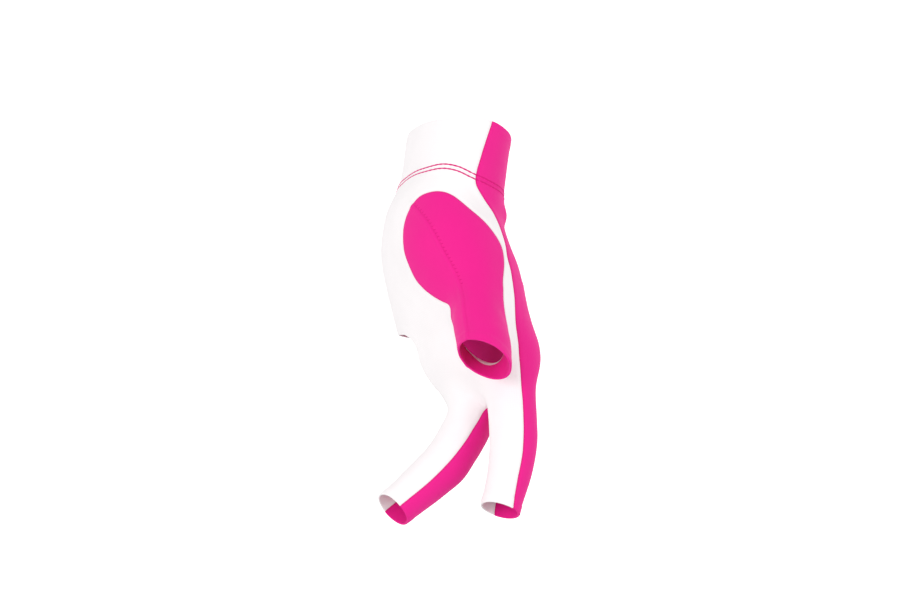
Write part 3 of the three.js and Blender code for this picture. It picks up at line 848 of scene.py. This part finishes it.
# Wrist band
# A band of doubled jersey, magenta over the back of the wrist and white on the palm side, sewn to the
# hand with two parallel rows of pink thread.
MAGENTA = ("magenta_knit", magenta_jersey)
WHITE = ("white_knit", white_jersey)


def show_cloth(name, node, region, knit):
    """Shows a region as cloth in place of the solid of that node, which is hidden."""
    slot, material = knit
    piece = cloth_piece(name, region, material)
    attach(piece, "root")
    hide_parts(node)


show_cloth("cuff_back_cloth", "cuff_magenta", CUFF_BACK, MAGENTA)
show_cloth("cuff_palm_cloth", "cuff_white", CUFF_PALM, WHITE)

# Palm and back of the hand
# One white piece covers the palm, the thumb side and the inner halves of index and middle finger. One
# magenta piece covers the back and the outer halves, and both end in a turned hem at the opening.
show_cloth("palm_cloth", "palm_panel", PALM, WHITE)
show_cloth("back_cloth", "back_panel", GLOVE, MAGENTA)

# Thumb
# An oval magenta patch over the root of the thumb runs on into the tube round it. It is two pieces,
# joined by one seam that stands up as a rib.
show_cloth("thumb_palm_cloth", "thumb_palmar_panel", THUMB_PALM, MAGENTA)
show_cloth("thumb_back_cloth", "thumb_dorsal_panel", THUMB_BACK, MAGENTA)


# Cuff stitching
# Two rows of pink polyester thread, 2.2 mm apart, over the seam between band and hand. Each stitch
# is a short loop of thread pulled down into the cloth at both ends.
ROW_APART = 2.2
STITCH_PITCH = 0.0023
STITCH_LENGTH = 0.0030
THREAD_WIDTH = 0.00085
THREAD_HEIGHT = 0.00034
THREAD_SINK = 0.02


def thread_material(name, color):
    material = bpy.data.materials.new(name)
    material.use_nodes = True
    nodes, links = material.node_tree.nodes, material.node_tree.links
    shader = nodes["Principled BSDF"]
    shader.inputs["Roughness"].default_value = 0.7
    shader.inputs["Specular IOR Level"].default_value = 0.15
    coordinates = nodes.new("ShaderNodeTexCoord")
    twist = nodes.new("ShaderNodeTexNoise")
    twist.inputs["Scale"].default_value = 900
    links.new(coordinates.outputs["Object"], twist.inputs["Vector"])
    mix = nodes.new("ShaderNodeMix")
    mix.data_type = "RGBA"
    mix.inputs["A"].default_value = tuple(c * 0.88 for c in color[:3]) + (1.0,)
    mix.inputs["B"].default_value = color
    links.new(twist.outputs["Fac"], mix.inputs["Factor"])
    links.new(mix.outputs["Result"], shader.inputs["Base Color"])
    bump = nodes.new("ShaderNodeBump")
    bump.inputs["Strength"].default_value = 0.4
    bump.inputs["Distance"].default_value = 0.00005
    links.new(twist.outputs["Fac"], bump.inputs["Height"])
    links.new(bump.outputs["Normal"], shader.inputs["Normal"])
    return material


def stitch_tree(name, material):
    """Geometry nodes that lay thread stitches along a line, flat on the cloth by its "lift" direction."""
    tree = bpy.data.node_groups.new(name, "GeometryNodeTree")
    tree.interface.new_socket("Line", in_out="INPUT", socket_type="NodeSocketGeometry")
    for size in ("Pitch", "Length", "Width", "Height"):
        tree.interface.new_socket(size, in_out="INPUT", socket_type="NodeSocketFloat")
    tree.interface.new_socket("Stitches", in_out="OUTPUT", socket_type="NodeSocketGeometry")
    nodes, links = tree.nodes, tree.links
    given = nodes.new("NodeGroupInput")
    result = nodes.new("NodeGroupOutput")
    line = nodes.new("GeometryNodeMeshToCurve")
    links.new(given.outputs["Line"], line.inputs["Mesh"])
    spaced = nodes.new("GeometryNodeResampleCurve")
    spaced.mode = "LENGTH"
    links.new(line.outputs["Curve"], spaced.inputs["Curve"])
    links.new(given.outputs["Pitch"], spaced.inputs["Length"])
    bead = nodes.new("GeometryNodeMeshUVSphere")
    bead.inputs["Segments"].default_value = 8
    bead.inputs["Rings"].default_value = 6
    bead.inputs["Radius"].default_value = 0.5
    size = nodes.new("ShaderNodeCombineXYZ")
    for axis, side in zip("XYZ", ("Length", "Width", "Height")):
        links.new(given.outputs[side], size.inputs[axis])
    shaped = nodes.new("GeometryNodeTransform")
    links.new(bead.outputs["Mesh"], shaped.inputs["Geometry"])
    links.new(size.outputs["Vector"], shaped.inputs["Scale"])
    lift = nodes.new("GeometryNodeInputNamedAttribute")
    lift.data_type = "FLOAT_VECTOR"
    lift.inputs["Name"].default_value = "lift"
    lie = nodes.new("GeometryNodeInputNamedAttribute")
    lie.data_type = "FLOAT_VECTOR"
    lie.inputs["Name"].default_value = "lie"
    turned = nodes.new("FunctionNodeAxesToRotation")
    turned.primary_axis = "Z"
    turned.secondary_axis = "X"
    links.new(lift.outputs["Attribute"], turned.inputs["Primary Axis"])
    links.new(lie.outputs["Attribute"], turned.inputs["Secondary Axis"])
    placed = nodes.new("GeometryNodeInstanceOnPoints")
    links.new(spaced.outputs["Curve"], placed.inputs["Points"])
    links.new(shaped.outputs["Geometry"], placed.inputs["Instance"])
    links.new(turned.outputs["Rotation"], placed.inputs["Rotation"])
    real = nodes.new("GeometryNodeRealizeInstances")
    links.new(placed.outputs["Instances"], real.inputs["Geometry"])
    finish = nodes.new("GeometryNodeSetMaterial")
    finish.inputs["Material"].default_value = material
    links.new(real.outputs["Geometry"], finish.inputs["Geometry"])
    links.new(finish.outputs["Geometry"], result.inputs["Stitches"])
    return tree


def stitches(name, tree, rows, sizes):
    """Shows lines of stitches. Each row is its points, which way is up at each and which way a stitch
    lies, and whether the line is closed."""
    places, edges, lifts, lies = [], [], [], []
    for points, lift, lie, closed in rows:
        first = len(places)
        places += (points * MM).tolist()
        lifts += lift.tolist()
        lies += lie.tolist()
        count = len(points)
        edges += [(first + n, first + (n + 1) % count) for n in range(count if closed else count - 1)]
    mesh = bpy.data.meshes.new(name + "_line")
    mesh.from_pydata(places, edges, [])
    for attribute, values in (("lift", lifts), ("lie", lies)):
        layer = mesh.attributes.new(attribute, "FLOAT_VECTOR", "POINT")
        layer.data.foreach_set("vector", np.array(values, np.float32).ravel())
    line = bpy.data.objects.new(name + "_line", mesh)
    bpy.context.scene.collection.objects.link(line)
    modifier = line.modifiers.new("stitches", "NODES")
    modifier.node_group = tree
    for socket in tree.interface.items_tree:
        if socket.in_out == "INPUT" and socket.name in sizes:
            modifier[socket.identifier] = sizes[socket.name]
    depsgraph = bpy.context.evaluated_depsgraph_get()
    made = bpy.data.meshes.new_from_object(line.evaluated_get(depsgraph))
    made.name = name
    made.shade_smooth()
    line.modifiers.remove(modifier)
    bpy.data.objects.remove(line)
    piece = bpy.data.objects.new(name, made)
    bpy.context.scene.collection.objects.link(piece)
    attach(piece, "root")


cloth_tree = tree_of(cloth_points)


def height_at(points):
    """Relief of the cloth at any point near it, from the nearest corner of its facets."""
    return relief[np.array([cloth_tree.find(point)[1] for point in points])]


def row_beside(points, field, offset, sink):
    """A line set on the cloth at an offset from a seam, a little sunk, and which way is up along it."""
    for _ in range(4):
        normal = unit(slope_of(skin, points))
        slope = slope_of(field, points)
        slope -= (slope * normal).sum(-1, keepdims=True) * normal
        steep = np.linalg.norm(slope, axis=-1)
        error = field(points) - offset * steep
        points = onto_skin(points - slope * (error / steep**2)[:, None], 1)
    normal = unit(slope_of(skin, points))
    return points + normal * (height_at(points) - sink)[:, None], normal


def closed_row(edges):
    """Points of a closed line of edges, in order round the hand."""
    place = cloth_points[np.unique(edges)]
    _, across, through, _ = seen_from(HAND, place)
    return place[np.argsort(np.arctan2(through, across))]


def smoothed(points, closed, rounds=6):
    for _ in range(rounds):
        before, after = np.roll(points, 1, 0), np.roll(points, -1, 0)
        eased = (before + 2 * points + after) / 4
        if not closed:
            eased[0], eased[-1] = points[0], points[-1]
        points = eased
    return points


cuff_line = closed_row(seam_edges[at_cuff_seam])
cuff_rows = []
for side in (-1, 1):
    row, lift = row_beside(smoothed(cuff_line, True), in_cuff, side * ROW_APART / 2, THREAD_SINK)
    row = smoothed(row, True)
    cuff_rows.append((row, lift, unit(np.roll(row, -1, 0) - np.roll(row, 1, 0)), True))
pink_thread = thread_material("pink_thread", linear(224, 14, 126))
stitches(
    "cuff_stitches",
    stitch_tree("cuff stitches", pink_thread),
    cuff_rows,
    {"Pitch": STITCH_PITCH, "Length": STITCH_LENGTH, "Width": THREAD_WIDTH, "Height": THREAD_HEIGHT},
)

# Thumb seam stitching
# The seam down the thumb patch is overlocked from inside. Its thread pulls the cloth into a row of
# small pricks beside the rib, and short bars of magenta thread show in them.
PRICK_PITCH = 0.00200
PRICK_LENGTH = 0.00150
PRICK_WIDTH = 0.00050
PRICK_HEIGHT = 0.00034
PRICK_ASIDE, PRICK_SINK, PRICK_SLANT = 0.55, 0.06, 0.35
# The row leaves out the first corners at the patch's edge, and ends this far down the thumb
FIRST_PRICK, PRICKS_END = 4, 56
rib_points = cloth_points[np.unique(seam_edges[is_rib])]
rib_line = rib_points[seen_from(THUMB, rib_points)[0] < PRICKS_END]
rib_line = smoothed(rib_line[np.argsort(seen_from(THUMB, rib_line)[0])][FIRST_PRICK:], False)
rib_row, rib_lift = row_beside(rib_line, in_thumb_palm_side, PRICK_ASIDE, PRICK_SINK)
rib_along = unit(np.gradient(smoothed(rib_row, False), axis=0))
rib_across = unit(np.cross(rib_lift, rib_along) + PRICK_SLANT * rib_along)
magenta_thread = thread_material("magenta_thread", linear(228, 12, 130))
stitches(
    "thumb_seam_stitches",
    stitch_tree("thumb seam stitches", magenta_thread),
    [(rib_row, rib_lift, rib_across, False)],
    {"Pitch": PRICK_PITCH, "Length": PRICK_LENGTH, "Width": PRICK_WIDTH, "Height": PRICK_HEIGHT},
)


# Studio
# A plain pale floor that sweeps up into a wall on every side, far enough out for a camera to stand
# anywhere round the glove. Soft light comes from all about, and lamps at the front and back add to it.
FLOOR_Z = -0.232
SWEEP_START, SWEEP_RADIUS, WALL_TOP = 2.6, 1.2, 3.2
SWEEP_TURNS = 96


def sweep():
    """The floor and its wall as one mesh: a profile turned round, closed in the middle."""
    profile = [(SWEEP_START / 2, FLOOR_Z)]
    for degrees in range(0, 91, 6):
        angle = math.radians(degrees)
        out = SWEEP_START + SWEEP_RADIUS * math.sin(angle)
        profile.append((out, FLOOR_Z + SWEEP_RADIUS * (1 - math.cos(angle))))
    profile.append((SWEEP_START + SWEEP_RADIUS, WALL_TOP))
    places = []
    for k in range(SWEEP_TURNS):
        angle = 2 * math.pi * k / SWEEP_TURNS
        places += [(out * math.cos(angle), out * math.sin(angle), z) for out, z in profile]
    rows = len(profile)
    centre = len(places)
    places.append((0, 0, FLOOR_Z))
    faces = []
    for k in range(SWEEP_TURNS):
        here, following = k * rows, (k + 1) % SWEEP_TURNS * rows
        faces.append((centre, here, following))
        faces += [(here + r, here + r + 1, following + r + 1, following + r) for r in range(rows - 1)]
    mesh = bpy.data.meshes.new("studio_floor")
    mesh.from_pydata(places, [], faces)
    mesh.shade_smooth()
    return mesh


floor = bpy.data.objects.new("studio_floor", sweep())
bpy.context.scene.collection.objects.link(floor)
paper = bpy.data.materials.new("white_paper")
paper.use_nodes = True
paper_shader = paper.node_tree.nodes["Principled BSDF"]
paper_shader.inputs["Base Color"].default_value = (0.90, 0.90, 0.90, 1.0)
paper_shader.inputs["Roughness"].default_value = 0.9
paper_shader.inputs["Emission Color"].default_value = (1.0, 1.0, 1.0, 1.0)
paper_shader.inputs["Emission Strength"].default_value = 0.6
floor.data.materials.append(paper)
floor.visible_diffuse = False

world = bpy.data.worlds.new("soft_light")
bpy.context.scene.world = world
world.use_nodes = True
sky = world.node_tree.nodes["Background"]
sky.inputs["Color"].default_value = (1.0, 1.0, 1.0, 1.0)
sky.inputs["Strength"].default_value = 0.72


def lamp(name, place, target, size, power):
    light = bpy.data.lights.new(name, "AREA")
    light.shape = "DISK"
    light.size = size
    light.energy = power
    item = bpy.data.objects.new(name, light)
    item.location = place
    item.rotation_euler = (Vector(target) - Vector(place)).to_track_quat("-Z", "Y").to_euler()
    bpy.context.scene.collection.objects.link(item)


GLOVE_MIDDLE = (0.0, -0.03, -0.08)
lamp("key_light", (-1.1, -1.5, 0.1), GLOVE_MIDDLE, 0.9, 13)
lamp("fill_light", (1.5, -1.2, 0.3), GLOVE_MIDDLE, 1.2, 9)
lamp("back_light", (0.9, 1.4, 0.8), GLOVE_MIDDLE, 1.2, 3)

# Camera
# Level with the middle of the glove and a metre and a half in front of it. The lens is long enough to
# show 0.455 mm of the glove in each of 900 pixels across.
camera_data = bpy.data.cameras.new("camera")
camera_data.sensor_fit = "HORIZONTAL"
camera_data.sensor_width = 36.0
camera_data.lens = 131.9
camera = bpy.data.objects.new("camera", camera_data)
camera.location = (-0.0041, -1.5, -0.071)
camera.rotation_euler = (math.radians(90), 0, 0)
bpy.context.scene.collection.objects.link(camera)
bpy.context.scene.camera = camera
bpy.context.scene.view_settings.view_transform = "Standard"
